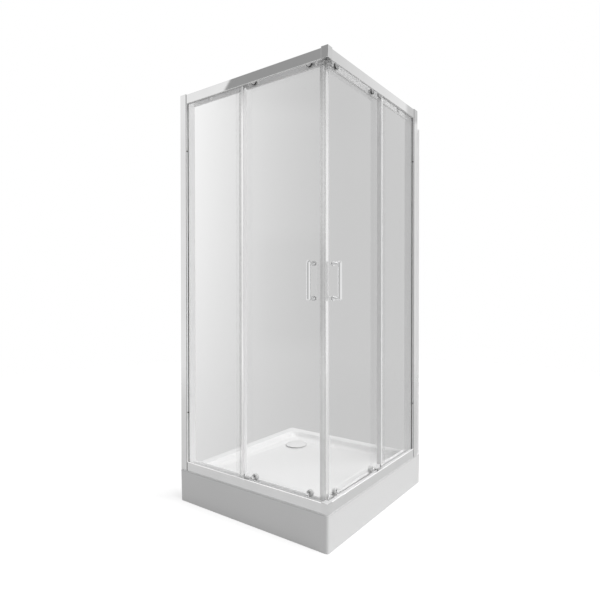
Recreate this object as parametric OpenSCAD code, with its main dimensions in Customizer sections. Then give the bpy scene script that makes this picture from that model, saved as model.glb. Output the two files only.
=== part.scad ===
// Square corner-entry shower cabin on a deep tray. Two fixed panes and two sliding doors
// make the front corner, and the back corner stands against two room walls.
// Millimetres, origin at the centre of the tray's foot, +Z up. The left side faces -Y, the
// right side faces +X, and the walls are at -X and +Y.
// Pieces of a side are drawn in its own directions: s runs along the side from the front
// corner to the wall, u runs from the side's face into the cabin, and z is up.

/* [Tray] */
// Side of the square tray at its rim
tray_w = 900; // [860:10:1000]
// Height of the rim above the floor
tray_h = 155; // [145:1:190]
// How far the apron leans in at its foot
apron_lean = 2.5; // [0.5:0.5:6]
// Radius of the tray's upright corners
tray_corner_r = 12; // [10:1:30]
// Rounding of the rim's outer edge
rim_round = 5; // [2:0.5:5.5]
// Thickness of the acrylic shell
shell_t = 4; // [3:0.5:6]
// Width of the flat rim inside the two glass sides
rim_inside = 6; // [4:1:20]
// Width of the flat rim along the two walls
rim_wall = 50; // [44:1:70]
// Depth of the basin at its edge
basin_depth = 26; // [18:1:32]
// Extra depth of the basin at the waste
basin_fall = 8; // [2:1:12]
// Radius of the basin's corners
basin_corner_r = 60; // [40:5:100]
// How far the basin's wall leans in from its top to its floor
basin_lean = 22; // [10:1:35]
// Thickness of the board bonded under the basin
board_t = 16; // [12:1:18]
// Depth of the rim's edge on the two wall sides, which are open below it
wall_skirt = 45; // [30:1:60]
// Width of the apron's ends that turn onto the wall sides
apron_return = 30; // [20:5:50]

/* [Feet] */
// Distance of the outer feet from the board's edges
foot_inset = 22; // [21:1:25]
// Diameter of a foot's pad
foot_d = 50; // [40:1:60]
// Thickness of a foot's pad
foot_t = 9; // [6:1:14]
// Diameter of a foot's threaded stud
stud_d = 10; // [8:1:12]

/* [Waste] */
// Distance of the waste's centre from both walls
waste_inset = 185; // [180:5:260]
// Diameter of the hole in the basin
waste_hole_d = 88; // [80:1:94]
// Width of the flange that lies on the basin floor around the hole
flange_w = 13; // [8:1:16]
// Diameter of the cover
cover_d = 125; // [118:1:130]
// Rise of the cover's dome
cover_dome = 3; // [1:0.5:5]
// Height of the gap that the water takes under the cover
cover_gap = 3; // [2:0.5:5]
// Height of the trap under its flange
trap_h = 72; // [60:1:76]
// Outer diameter of the outlet pipe
outlet_d = 50; // [40:1:50]
// Length of the outlet pipe outside the trap
outlet_len = 60; // [40:1:90]
// Length of the collar at the pipe's root, where the waste pipe's socket stops
outlet_collar_len = 6; // [3:1:12]
// Width of that collar around the pipe
outlet_collar_w = 4; // [2:0.5:6]

/* [Frame] */
// Distance from the tray's edge to the face of the rails
frame_inset = 6; // [6:0.5:12]
// Height from the tray's rim to the top of the top rails
frame_h = 1868; // [1700:1:1950]
// Height of the top rails
top_rail_h = 44; // [43:1:50]
// Height of the bottom rails
bottom_rail_h = 42; // [40:1:48]
// Wall thickness of the rails
rail_t = 1.8; // [1.4:0.1:2]
// Side of the square corner blocks
corner_w = 32; // [28:1:35]
// How far the corner blocks and posts stand above the top rails
top_proud = 4; // [2:0.5:6]
// How far the corner blocks stand out from the rails' faces
corner_proud = 1.2; // [0.5:0.1:2]
// Length of a corner block's tongue in the rail
tongue_len = 48; // [30:1:70]
// Radius of the profiles' outer edges
edge_r = 1.2; // [0.6:0.1:1.4]

/* [Wall profiles] */
// Width of the wall posts' faces
post_w = 44; // [40:1:50]
// Wall thickness of the posts and the wall channels
post_t = 1.6; // [1.2:0.1:1.8]
// Depth of the pane's groove in the post
post_groove = 14; // [12:1:18]
// How far the left post stands out from the wall
left_pull = 1; // [1:1:30]
// How far the right post stands out from the wall
right_pull = 28; // [1:1:30]
// How far the wall channels stop below the tops of the posts
channel_drop = 95; // [20:5:140]
// Diameter of the screw holes to the wall
wall_hole_d = 5; // [4:0.5:6]
// Distance from the ends of a wall channel to its outer screw holes
wall_hole_end = 110; // [60:5:200]
// Height of the lower clamp screws above the tray's rim
clamp_low = 290; // [150:5:400]
// Depth of the upper clamp screws below the top of the top rails
clamp_high = 278; // [150:5:400]

/* [Glass] */
// Thickness of all glass
glass_t = 5; // [4:0.5:6]
// Distance from the rails' face to the fixed panes
pane_setback = 10.4; // [10:0.1:11]
// Distance from the rails' face to the doors' glass
door_setback = 38; // [38:0.5:42]
// Width of a door's glass
door_w = 466; // [400:1:480]
// Width that the doors and panes overlap when closed
door_overlap = 50; // [40:1:70]
// Gap between a door's glass and the mitre plane of the corner
lead_gap = 16; // [14:1:20]
// Thickness of the rubber on each side of a pane
gasket_t = 1.6; // [1.2:0.1:1.8]
// Distance left between a door's rear seal and the nearer post when the door is open
open_rest = 18; // [14:1:60]

/* [Seals] */
// Wall thickness of the clip-on seals
seal_t = 1.2; // [0.8:0.1:1.3]
// How far the seals reach over the glass
seal_grip = 10; // [8:1:14]
// Gap that the seals leave to the glass they close against
lip_gap = 2.5; // [1.5:0.5:4]
// Gap between the two magnetic seals when the doors are closed
magnet_gap = 0.3; // [0.2:0.1:1]
// Thickness of a magnet strip
magnet_t = 2; // [1.5:0.5:3]

/* [Rollers] */
// Distance from a door's leading glass edge to its near rollers
roller_near = 64; // [55:1:90]
// Distance from a door's rear glass edge to its far rollers
roller_far = 92; // [70:1:110]
// Radius of the top wheels
top_wheel_r = 14; // [12:0.5:15]
// Radius of the bottom wheels
bottom_wheel_r = 13.5; // [12:0.5:14]
// Width of the wheels
wheel_w = 8; // [7:0.5:10]
// Depth of the groove in a wheel
groove_deep = 2.5; // [2:0.1:3]
// Radius of the spindles
axle_r = 4; // [3:0.5:4.5]
// Clearance between a spindle and its wheel
running_gap = 0.05; // [0.02:0.01:0.1]
// Gap between a wheel and its rib
roll_gap = 0.3; // [0.2:0.1:0.6]
// Radius of the round caps in front of the top rollers
cap_r = 14; // [10:0.5:15]
// Radius of the release knobs
knob_r = 8; // [6:0.5:9]
// Thickness of the release knobs
knob_t = 7; // [4:0.5:8]
// Height of the bottom wheels' centres above the bottom rail
bottom_axle_rise = 5; // [4:0.5:8]
// How far a release knob lifts its wheel
release_lift = 5; // [4:0.5:5.5]

/* [Handle] */
// Distance from the corner of the rails to the handles
handle_s = 97; // [85:1:110]
// Height of the handle's middle above the tray's rim
handle_mid = 939; // [800:5:1100]
// Distance between the handle's two screws
handle_pitch = 145; // [96:1:224]
// Overall length of the handle's bar
handle_len = 169; // [120:1:248]
// Radius of the bar
bar_r = 9.5; // [7:0.5:9.5]
// Distance from the glass to the middle of the bar
handle_reach = 34; // [30:0.5:34]
// Radius of the rosettes
rosette_r = 10; // [8:0.5:13]

/* [Hidden] */

$fn = 48;
LEFT = 0;
RIGHT = 1;
SIDES = [LEFT, RIGHT];
eps = 0.01;

// Corner where the faces of the two sides meet
face_x = tray_w / 2 - frame_inset;
face_y = -face_x;

// Places along a side, measured from that corner
wall_s = tray_w - frame_inset;
post_pull = [left_pull, right_pull];
function post_end(side) = wall_s - post_pull[side];
function run(side) = post_end(side) - post_w;
door_lead = door_setback + lead_gap;
door_rear = door_lead + door_w;
pane_edge = door_rear - door_overlap;
near_s = door_lead + roller_near;
far_s = door_rear - roller_far;
lip_lean = 4;
end_block_len = 28;
handle_clear = 20;
door_travel = min(min(run(LEFT), run(RIGHT)) - open_rest - door_rear - lip_lean,
                  pane_edge - end_block_len - handle_clear - handle_s - rosette_r);

// Depths behind a side's face
groove_front = pane_setback - gasket_t;
groove_rear = pane_setback + glass_t + gasket_t;
door_back = door_setback + glass_t;
nut_t = 2.5;
nut_gap = 0.5;
wheel_front = door_back + nut_t + nut_gap;
wheel_mid = wheel_front + wheel_w / 2;
wheel_back = wheel_front + wheel_w;
head_gap = 0.3;
end_head_t = 1.5;
end_head_lip = 1.5;
back_gap = 0.4;
frame_d = wheel_back + head_gap + end_head_t + back_gap + rail_t;
rim_front = frame_inset + frame_d + rim_inside;
rib_w = 2;
rib_groove_w = 3;
ledge_front = wheel_front + 0.5;
knob_gap = 1.2;
knob_front = groove_rear + rail_t + knob_gap;

// Heights
top_z = tray_h + frame_h;
top_lip_z = top_z - top_rail_h;
post_top_z = top_z + top_proud;
bottom_lip_z = tray_h + bottom_rail_h;
wheel_clear = 1.2;
top_axle_z = top_lip_z + rail_t + wheel_clear + top_wheel_r;
bottom_axle_z = bottom_lip_z + bottom_axle_rise;
top_rib_z = top_axle_z - (top_wheel_r - groove_deep) - roll_gap;
bottom_rib_z = bottom_axle_z - (bottom_wheel_r - groove_deep) - roll_gap;
bottom_ledge_z = bottom_axle_z - bottom_wheel_r - wheel_clear;
door_top_gap = 8;
door_top_z = top_z - rail_t - door_top_gap;
door_foot_gap = 18.2;
door_foot_z = tray_h + rail_t + door_foot_gap;
pane_shelf_drop = 24;
pane_shelf_z = tray_h + bottom_rail_h - pane_shelf_drop;
pane_pad_t = 2;
pane_foot_z = pane_shelf_z + rail_t + pane_pad_t;
pane_in_rail = 30;
pane_top_z = top_lip_z + pane_in_rail;
pane_in_post = post_groove - pane_pad_t;
seal_end = 2;
seal_low_z = bottom_axle_z + release_lift + knob_r + seal_end;
seal_high_z = top_lip_z - seal_end;

// Tray and waste
basin_z = tray_h - basin_depth;
sump_z = basin_z - basin_fall;
shell_under_z = sump_z - shell_t;
board_under_z = shell_under_z - board_t;
waste_x = -tray_w / 2 + waste_inset;
waste_y = tray_w / 2 - waste_inset;
waste_hole_r = waste_hole_d / 2;
flange_t = 2;
flange_r = waste_hole_r + flange_w;
sleeve_r = waste_hole_r - 1;
sleeve_t = 3;
bore_r = sleeve_r - sleeve_t;
gasket_flat_t = 3;
trap_top_z = shell_under_z - gasket_flat_t;
trap_flange_t = 6;
trap_r = waste_hole_r + 5;
trap_t = 4;
trap_flange_r = waste_hole_r + 14;
board_hole_r = trap_flange_r + 7;
trap_foot_z = trap_top_z - trap_flange_t - trap_h;
sleeve_foot_z = trap_top_z - trap_flange_t - 4;
seat_t = 3;
seat_r = bore_r - 5;
cover_t = 3;
cover_z = sump_z + flange_t + cover_gap;
cup_wall = 2;

// Screw ports of the rails, as depth and distance from the rail's closed web
port_u = [27, frame_d - 7.5];
port_in = 3.2;
port_r = 3.5;
screw_r = 1.75;
port_bore_r = 1.8;

// Wall channel
slide_gap = 0.3;
channel_base_t = 2;
channel_reach = post_w - post_t - 2.4;
channel_top_z = post_top_z - channel_drop;
channel_mid_u = frame_d / 2;

// Release bush, measured from the bottom wheels' centre
slot_gap = 0.2;
spring_r = 3;
spring_wire = 1;
spring_pressed = 3.9;
spring_seat = axle_r + release_lift + spring_pressed;
bush_rise = 3;
bush_wall = 1.1;
bush_r = spring_seat - bush_rise + bush_wall;
bush_flange_r = bush_r + 2;

// Moves a side's own directions s, u, z to their place
module on_side(side) {
    if (side == LEFT)
        translate([face_x, face_y, 0]) mirror([1, 0, 0]) children();
    else
        translate([face_x, face_y, 0]) rotate([0, 0, 90]) children();
}

// Box between two corners
module box(low, high) {
    translate(low) cube(high - low);
}

// Round bar across a side, from depth u0 to u1
module pin(s, z, u0, u1, r) {
    translate([s, u0, z]) rotate([-90, 0, 0]) cylinder(h = u1 - u0, r = r);
}

// Rectangle with round corners
module round_rect(size, r) {
    translate([r, 0]) square([size[0] - 2 * r, size[1]]);
    translate([0, r]) square([size[0], size[1] - 2 * r]);
    for (x = [r, size[0] - r], y = [r, size[1] - r])
        translate([x, y]) circle(r);
}

// Plate with round corners between two corner points
module round_plate(low, high, r) {
    translate(low)
        linear_extrude(high[2] - low[2])
            round_rect([high[0] - low[0], high[1] - low[1]], r);
}

// Extrudes an outline of depth and height along a side
module along_side(s0, s1) {
    translate([s0, 0, 0]) rotate([90, 0, 90]) linear_extrude(s1 - s0) children();
}

// Square slab of the tray, set in from its edge
module tray_slab(inset, z, t) {
    half = tray_w / 2 - inset;
    r = max(tray_corner_r - inset, 1);
    round_plate([-half, -half, z], [half, half, z + t], r);
}

// Body inside the apron: the rim's edge is rounded in a few steps
module tray_body(inset, z0, z1) {
    hull() {
        tray_slab(inset + apron_lean, z0, eps);
        tray_slab(inset, z1 - rim_round, eps);
        for (a = [22.5:22.5:90])
            tray_slab(inset + rim_round * (1 - cos(a)),
                      z1 - rim_round + rim_round * sin(a) - eps, eps);
    }
}

// Slab with the basin's outline, set in or out from its edge
module basin_slab(inset, z) {
    low = [-tray_w / 2 + rim_wall + inset, -tray_w / 2 + rim_front + inset, z];
    high = [tray_w / 2 - rim_front - inset, tray_w / 2 - rim_wall - inset, z + eps];
    round_plate(low, high, basin_corner_r - inset);
}

module basin_hollow() {
    hull() {
        basin_slab(0, tray_h + 1);
        basin_slab(0, tray_h - 3);
        basin_slab(basin_lean, basin_z);
    }
    hull() {
        basin_slab(basin_lean, basin_z);
        translate([waste_x, waste_y, sump_z]) cylinder(h = eps, r = flange_r + 8);
    }
}

module basin_shell() {
    hull() {
        basin_slab(-shell_t, tray_h - shell_t);
        basin_slab(basin_lean - shell_t, shell_under_z);
    }
}

// Openings in the two wall sides for the waste pipe and for setting the feet
module wall_openings() {
    deep = shell_t + apron_lean + tray_corner_r;
    half = tray_w / 2;
    top = tray_h - wall_skirt;
    box([-half - 1, apron_return - half, -1], [deep - half, half + 1, top]);
    box([-half - 1, half - deep, -1], [half - apron_return, half + 1, top]);
}

module tray() {
    color("white")
    difference() {
        tray_body(0, 0, tray_h);
        wall_openings();
        difference() {
            tray_body(shell_t, -1, tray_h - shell_t);
            basin_shell();
        }
        basin_hollow();
        translate([waste_x, waste_y, shell_under_z - 1])
            cylinder(h = shell_t + basin_fall + 2, r = waste_hole_r);
    }
}

// Distances from the tray's middle to the board's edges on the wall sides and front sides
board_margin = basin_lean + 12;
board_wall = tray_w / 2 - rim_wall - board_margin;
board_front = tray_w / 2 - rim_front - board_margin;

module tray_board() {
    color("burlywood")
    difference() {
        round_plate([-board_wall, -board_front, board_under_z],
                    [board_front, board_wall, shell_under_z], 10);
        translate([waste_x, waste_y, board_under_z - 1]) cylinder(h = board_t + 2, r = board_hole_r);
    }
}

// Four feet near the corners and one in the middle
module at_feet() {
    for (x = [foot_inset - board_wall, board_front - foot_inset],
         y = [foot_inset - board_front, board_wall - foot_inset])
        translate([x, y, 0]) children();
    children();
}

// Threaded stud with the plate that screws to the board and a lock nut over the pad
module leg_studs() {
    plate_t = 3;
    color("silver")
    at_feet() {
        translate([0, 0, foot_t]) cylinder(h = board_under_z - foot_t - plate_t, d = stud_d);
        translate([0, 0, board_under_z - plate_t]) cylinder(h = plate_t, d = stud_d * 4);
        translate([0, 0, foot_t]) cylinder(h = 6, d = stud_d * 1.9, $fn = 6);
    }
}

module leg_pads() {
    color("dimgray")
    at_feet()
        difference() {
            union() {
                cylinder(h = foot_t / 2, d = foot_d);
                cylinder(h = foot_t, d = foot_d * 0.6);
            }
            translate([0, 0, -1]) cylinder(h = foot_t / 2, d = foot_d * 0.3);
        }
}

module at_waste() {
    translate([waste_x, waste_y, 0]) children();
}

// Trap: a cup with a flange under the basin and an outlet pipe towards the left wall
module waste_body() {
    outlet_z = trap_foot_z + outlet_d / 2 + 6;
    outlet_end = trap_r + outlet_len;
    color("whitesmoke")
    at_waste()
        difference() {
            union() {
                translate([0, 0, trap_foot_z]) cylinder(h = trap_h + 1, r = trap_r);
                translate([0, 0, trap_top_z - trap_flange_t])
                    cylinder(h = trap_flange_t, r = trap_flange_r);
                translate([-outlet_end, 0, outlet_z]) rotate([0, 90, 0])
                    cylinder(h = outlet_end, d = outlet_d);
                translate([-trap_r - outlet_collar_len, 0, outlet_z]) rotate([0, 90, 0])
                    cylinder(h = trap_r + outlet_collar_len, r = outlet_d / 2 + outlet_collar_w);
            }
            translate([0, 0, trap_foot_z + trap_t]) cylinder(h = tray_h, r = trap_r - trap_t);
            translate([-outlet_end - 1, 0, outlet_z]) rotate([0, 90, 0])
                cylinder(h = outlet_end, r = outlet_d / 2 - 3);
        }
}

module waste_gasket() {
    color("black")
    at_waste()
        translate([0, 0, trap_top_z])
            difference() {
                cylinder(h = gasket_flat_t, r = trap_flange_r);
                translate([0, 0, -1]) cylinder(h = gasket_flat_t + 2, r = waste_hole_r);
            }
}

// Flange on the basin floor with the sleeve that clamps the trap, and a seat for the cup
module waste_flange() {
    color("silver")
    at_waste()
        difference() {
            union() {
                translate([0, 0, sump_z]) cylinder(h = flange_t, r = flange_r);
                translate([0, 0, sleeve_foot_z]) cylinder(h = sump_z - sleeve_foot_z + 1, r = sleeve_r);
            }
            translate([0, 0, sleeve_foot_z + seat_t]) cylinder(h = tray_h, r = bore_r);
            translate([0, 0, sleeve_foot_z - 1]) cylinder(h = seat_t + 2, r = seat_r);
        }
}

// Lift-out cup of the trap, with three short posts that carry the cover
module drain_cup() {
    rim_r = bore_r - 1;
    body_r = seat_r - 1;
    rim_z = sleeve_foot_z + seat_t;
    foot_z = trap_foot_z + trap_t + 16;
    color("gainsboro")
    at_waste() {
        difference() {
            union() {
                translate([0, 0, foot_z]) cylinder(h = rim_z - foot_z + 1, r = body_r);
                translate([0, 0, rim_z]) cylinder(h = sump_z - rim_z, r = rim_r);
            }
            translate([0, 0, foot_z + cup_wall]) cylinder(h = tray_h, r = body_r - cup_wall);
        }
        for (a = [30:120:270])
            rotate(a) translate([rim_r - 4, 0, sump_z - 1]) cylinder(h = cover_z - sump_z + 1, r = 2.5);
    }
}

// Domed cover with a small rounding at its edge
module drain_cover() {
    cover_r = cover_d / 2;
    round_r = 1;
    steps = 6;
    dome = [for (i = [0:steps])
        [(cover_r - round_r) * (1 - i / steps), cover_t + cover_dome * (1 - pow(1 - i / steps, 2))]];
    color("gainsboro")
    at_waste()
        translate([0, 0, cover_z])
            rotate_extrude()
                polygon(concat([[0, 0], [cover_r - round_r, 0], [cover_r, round_r],
                                [cover_r, cover_t - round_r]], dome));
}

// U-shaped channels that are screwed to the walls, open towards the front corner
module wall_channels() {
    front = post_t + slide_gap;
    back = frame_d - post_t - slide_gap;
    tip = wall_s - channel_reach;
    z0 = tray_h;
    mid_z = (z0 + channel_top_z) / 2;
    color("silver")
    for (side = SIDES)
        on_side(side) difference() {
            union() {
                box([tip, front, z0], [wall_s, front + post_t, channel_top_z]);
                box([tip, back - post_t, z0], [wall_s, back, channel_top_z]);
                box([wall_s - channel_base_t, front, z0], [wall_s, back, channel_top_z]);
            }
            for (z = [z0 + wall_hole_end, mid_z, channel_top_z - wall_hole_end])
                translate([wall_s - channel_base_t - 1, channel_mid_u, z]) rotate([0, 90, 0])
                    cylinder(h = channel_base_t + 2, d = wall_hole_d);
        }
}

// Section of a wall post: a box that is open to the wall, with the pane's groove in its side
module post_section() {
    groove_end = post_groove + post_t;
    difference() {
        round_rect([post_w, frame_d], edge_r);
        translate([post_t, post_t]) square([post_w, frame_d - 2 * post_t]);
    }
    difference() {
        translate([edge_r, groove_front - post_t])
            square([groove_end - edge_r, groove_rear - groove_front + 2 * post_t]);
        translate([0, groove_front]) square([post_groove, groove_rear - groove_front]);
    }
}

module wall_post(side) {
    height = post_top_z - top_proud / 2 - tray_h;
    color("silver")
    on_side(side)
        difference() {
            translate([run(side), 0, tray_h]) linear_extrude(height)
                difference() {
                    post_section();
                    translate([-1, groove_front]) square([post_groove, groove_rear - groove_front]);
                }
            for (u = port_u, z = [top_z - rail_t - port_in, tray_h + rail_t + port_in])
                translate([run(side) - 1, u, z]) rotate([0, 90, 0])
                    cylinder(h = post_t + 2, r = port_bore_r);
            for (z = clamp_z)
                translate([run(side) - 1, clamp_u, z]) rotate([0, 90, 0])
                    cylinder(h = post_t + 2, r = clamp_r);
        }
}

module left_wall_post() { wall_post(LEFT); }
module right_wall_post() { wall_post(RIGHT); }

module post_caps() {
    z0 = post_top_z - top_proud / 2;
    color("silver")
    for (side = SIDES)
        on_side(side)
            round_plate([run(side), 0, z0], [post_end(side), frame_d, post_top_z], edge_r);
}

// Ring for a screw thread, joined to the web beside it
module port_ring(u, z) {
    translate([u, z]) difference() {
        circle(port_r);
        circle(port_bore_r);
    }
}

// Section of a top rail as depth and height above its lip: a closed front chamber, the
// pane's groove and the wheels' track with its rib
module top_rail_section() {
    h = top_rail_h;
    t = rail_t;
    mid_lift = 9;
    rib_top = top_rib_z - top_lip_z;
    difference() {
        round_rect([groove_front, h], edge_r);
        translate([t, t]) square([groove_front - 2 * t, h - 2 * t]);
    }
    translate([edge_r, h - t]) square([frame_d - 2 * edge_r, t]);
    translate([groove_rear, mid_lift]) square([t, h - mid_lift]);
    translate([frame_d - t, edge_r]) square([t, h - 2 * edge_r]);
    for (z = [edge_r, h - edge_r])
        translate([frame_d - edge_r, z]) circle(edge_r);
    translate([ledge_front, 0]) square([frame_d - edge_r - ledge_front, t]);
    translate([wheel_mid - rib_w / 2, 0]) square([rib_w, rib_top]);
    for (u = port_u)
        difference() {
            port_ring(u, h - t - port_in);
            translate([u - port_r, h - edge_r]) square([2 * port_r, port_r]);
        }
}

// Section of a bottom rail as depth and height above the tray: the same parts, with the
// rib above a raised ledge
module bottom_rail_section() {
    h = bottom_rail_h;
    t = rail_t;
    shelf = pane_shelf_z - tray_h;
    ledge = bottom_ledge_z - tray_h;
    rib_top = bottom_rib_z - tray_h;
    difference() {
        round_rect([groove_front, h], edge_r);
        translate([t, t]) square([groove_front - 2 * t, h - 2 * t]);
    }
    translate([edge_r, 0]) square([frame_d - edge_r, t]);
    translate([groove_front - t, shelf]) square([groove_rear - groove_front + 2 * t, t]);
    translate([groove_rear, 0]) square([t, h]);
    translate([frame_d - t, 0]) square([t, rib_top]);
    translate([ledge_front, ledge - t]) square([frame_d - ledge_front, t]);
    translate([wheel_mid - rib_w / 2, ledge - t]) square([rib_w, rib_top - ledge + t]);
    for (u = port_u)
        port_ring(u, t + port_in);
}

// Takes away what lies past the mitre plane of the corner
module mitre_cut(z0, z1) {
    far = frame_d + 20;
    translate([0, 0, z0 - 1]) linear_extrude(z1 - z0 + 2)
        polygon([[-1, -1], [far, far], [-1, far]]);
}

module top_rail(side) {
    color("gainsboro")
    on_side(side)
        difference() {
            translate([0, 0, top_lip_z]) along_side(corner_w, run(side)) top_rail_section();
            mitre_cut(top_lip_z, top_z);
        }
}

module bottom_rail(side) {
    color("gainsboro")
    on_side(side)
        difference() {
            translate([0, 0, tray_h]) along_side(corner_w, run(side)) bottom_rail_section();
            mitre_cut(tray_h, bottom_lip_z);
        }
}

module left_top_rail() { top_rail(LEFT); }
module right_top_rail() { top_rail(RIGHT); }
module left_bottom_rail() { bottom_rail(LEFT); }
module right_bottom_rail() { bottom_rail(RIGHT); }

// Hollow block over the corner with a tongue in the front chamber of each rail
module corner_block(z0, z1, lip_z, web_z, pocket_z) {
    wall = 3;
    slip = 0.2;
    translate([face_x, face_y, 0]) {
        difference() {
            translate([-corner_w, -corner_proud, z0])
                linear_extrude(z1 - z0)
                    round_rect([corner_w + corner_proud, corner_w + corner_proud], edge_r);
            box([wall - corner_w, wall - corner_proud, pocket_z[0]],
                [corner_proud - wall, corner_w - wall, pocket_z[1]]);
        }
    }
    for (side = SIDES)
        on_side(side)
            box([corner_w - wall, rail_t + slip, lip_z + rail_t + slip],
                [corner_w + tongue_len, groove_front - rail_t - slip, web_z - rail_t - slip]);
}

module top_corner_block() {
    color("silver")
    corner_block(top_lip_z, post_top_z, top_lip_z, top_z, [top_lip_z - 1, top_z - 1]);
}

module bottom_corner_block() {
    color("silver")
    corner_block(tray_h, bottom_lip_z + top_proud / 2, tray_h, bottom_lip_z,
                 [tray_h - 1, bottom_lip_z - 2]);
}

// Pan-head screw that points towards the front corner, its head at depth s
module side_screw(s, u, z, length, head_r, head_t) {
    translate([s - length, u, z]) rotate([0, 90, 0]) cylinder(h = length, r = screw_r);
    translate([s, u, z]) rotate([0, 90, 0]) cylinder(h = head_t, r = head_r);
}

// Screws inside the posts that hold the ends of the rails
module rail_screws() {
    color("silver")
    for (side = SIDES)
        on_side(side)
            for (u = port_u, z = [top_z - rail_t - port_in, tray_h + rail_t + port_in])
                side_screw(run(side) + post_t, u, z, 18, 3, 2);
}

// Clamp screws on the sides of the posts: they wedge the channel's flange in the post
clamp_u = (post_t * 2 + slide_gap + groove_front - post_t) / 2;
clamp_z = [tray_h + clamp_low, top_z - clamp_high];
clamp_r = (groove_front - post_t * 3 - slide_gap) / 2 - 0.05;
module clamp_screws() {
    head_r = 3;
    head_t = 1.6;
    length = 20;
    color("darkgray")
    for (side = SIDES, z = clamp_z)
        on_side(side) {
            translate([run(side) - head_t, clamp_u, z]) rotate([0, 90, 0])
                cylinder(h = head_t, r = head_r);
            translate([run(side) - eps, clamp_u, z]) rotate([0, 90, 0])
                cylinder(h = length, r = clamp_r);
        }
}

// Rubber stops under the web of the top rails, at both ends of the wheels' way, and the
// buffers beside the closed doors
module door_stops() {
    gap = 0.5;
    stop_len = 12;
    stop_low = top_rib_z + 2;
    buffer_len = 19;
    buffer_drop = 4.5;
    buffer_gap = 1.8;
    web_z = top_z - rail_t;
    closed_s = near_s - top_wheel_r - gap;
    open_s = far_s + door_travel + top_wheel_r + gap;
    buffer_s = door_setback + 2;
    color("black")
    for (side = SIDES)
        on_side(side) {
            for (s = [closed_s - stop_len, open_s])
                difference() {
                    box([s, wheel_front, stop_low], [s + stop_len, wheel_back, web_z]);
                    translate([s - 1, port_u[1], web_z - port_in]) rotate([0, 90, 0])
                        cylinder(h = stop_len + 2, r = port_r);
                    box([s - 1, port_u[1] - port_r, web_z - port_in],
                        [s + stop_len + 1, port_u[1] + port_r, web_z + 1]);
                }
            difference() {
                box([buffer_s, groove_rear + rail_t, top_lip_z - buffer_drop],
                    [buffer_s + buffer_len, door_setback - seal_t - buffer_gap, web_z]);
                translate([buffer_s - 1, port_u[0], web_z - port_in]) rotate([0, 90, 0])
                    cylinder(h = buffer_len + 2, r = port_r);
                box([buffer_s - 1, port_u[0] - port_r, web_z - port_in],
                    [buffer_s + buffer_len + 1, port_u[0] + port_r, web_z + 1]);
            }
        }
}

module fixed_pane(side) {
    color("lightcyan", 0.4)
    on_side(side)
        box([pane_edge, pane_setback, pane_foot_z],
            [run(side) + pane_in_post, pane_setback + glass_t, pane_top_z]);
}

module left_fixed_pane() { fixed_pane(LEFT); }
module right_fixed_pane() { fixed_pane(RIGHT); }

// Rubber around the pane's three held edges, inside the grooves of the rails and the post
module pane_gaskets() {
    start = pane_edge + seal_grip + seal_end;
    color("dimgray")
    for (side = SIDES)
        on_side(side)
            difference() {
                box([start, groove_front, pane_foot_z - pane_pad_t],
                    [run(side) + post_groove, groove_rear, pane_top_z + pane_pad_t]);
                box([start - 1, pane_setback, pane_foot_z],
                    [run(side) + pane_in_post, pane_setback + glass_t, pane_top_z]);
                box([start - 1, groove_front - 1, bottom_lip_z], [run(side), groove_rear + 1, top_lip_z]);
            }
}

// Black blocks in the groove that hold the free edge of each pane at its foot and its top
module pane_end_blocks() {
    stand = 8;
    slip = 0.1;
    s1 = pane_edge - seal_t - 2 * slip;
    color("black")
    for (side = SIDES)
        on_side(side) {
            box([s1 - end_block_len, groove_front + slip, pane_shelf_z + rail_t],
                [s1, groove_rear - slip, bottom_lip_z + stand]);
            box([s1 - end_block_len, groove_front + slip, top_lip_z - stand],
                [s1, groove_rear - slip, pane_top_z]);
        }
}

// Clear clip on the free edge of a pane, with a lip that reaches towards the door's glass
module pane_seal(side) {
    front = pane_setback - seal_t;
    back = pane_setback + glass_t + seal_t;
    lip_end = door_setback - lip_gap;
    color("white", 0.6)
    on_side(side)
        translate([0, 0, seal_low_z]) linear_extrude(seal_high_z - seal_low_z) {
            difference() {
                translate([pane_edge - seal_t, front]) square([seal_grip + seal_t, back - front]);
                translate([pane_edge, pane_setback]) square([seal_grip + 1, glass_t]);
            }
            polygon([[pane_edge - seal_t, back - seal_t / 2], [pane_edge, back - seal_t / 2],
                     [pane_edge + lip_lean, lip_end], [pane_edge + lip_lean - seal_t, lip_end]]);
        }
}

module left_pane_seal() { pane_seal(LEFT); }
module right_pane_seal() { pane_seal(RIGHT); }

// Door glass with holes for the hangers, the release bushes and the handle
module door_glass(side) {
    color("lightcyan", 0.4)
    on_side(side)
        difference() {
            box([door_lead, door_setback, door_foot_z], [door_rear, door_back, door_top_z]);
            for (s = [near_s, far_s]) {
                pin(s, top_axle_z, door_setback - 1, door_back + 1, hanger_r);
                pin(s, bottom_axle_z + bush_rise, door_setback - 1, door_back + 1, bush_r);
            }
            for (z = handle_z)
                pin(handle_s, z, door_setback - 1, door_back + 1, handle_hole_r);
        }
}
hanger_r = axle_r + 3;
handle_hole_r = 6;
handle_z = [tray_h + handle_mid - handle_pitch / 2, tray_h + handle_mid + handle_pitch / 2];

module left_door_glass() { door_glass(LEFT); }
module right_door_glass() { door_glass(RIGHT); }

// Grey clip on the rear edge of a door, with a lip that reaches towards the fixed pane
module rear_seal(side) {
    front = door_setback - seal_t;
    back = door_back + seal_t;
    lip_end = groove_rear + rail_t + 0.7;
    low_z = bottom_lip_z + seal_end;
    color("gray")
    on_side(side)
        translate([0, 0, low_z]) linear_extrude(seal_high_z - low_z) {
            difference() {
                translate([door_rear - seal_grip, front]) square([seal_grip + seal_t, back - front]);
                translate([door_rear - seal_grip - 1, door_setback]) square([seal_grip + 1, glass_t]);
            }
            polygon([[door_rear + lip_lean - seal_t, lip_end], [door_rear + lip_lean, lip_end],
                     [door_rear + seal_t, front + seal_t / 2], [door_rear, front + seal_t / 2]]);
        }
}

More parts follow.
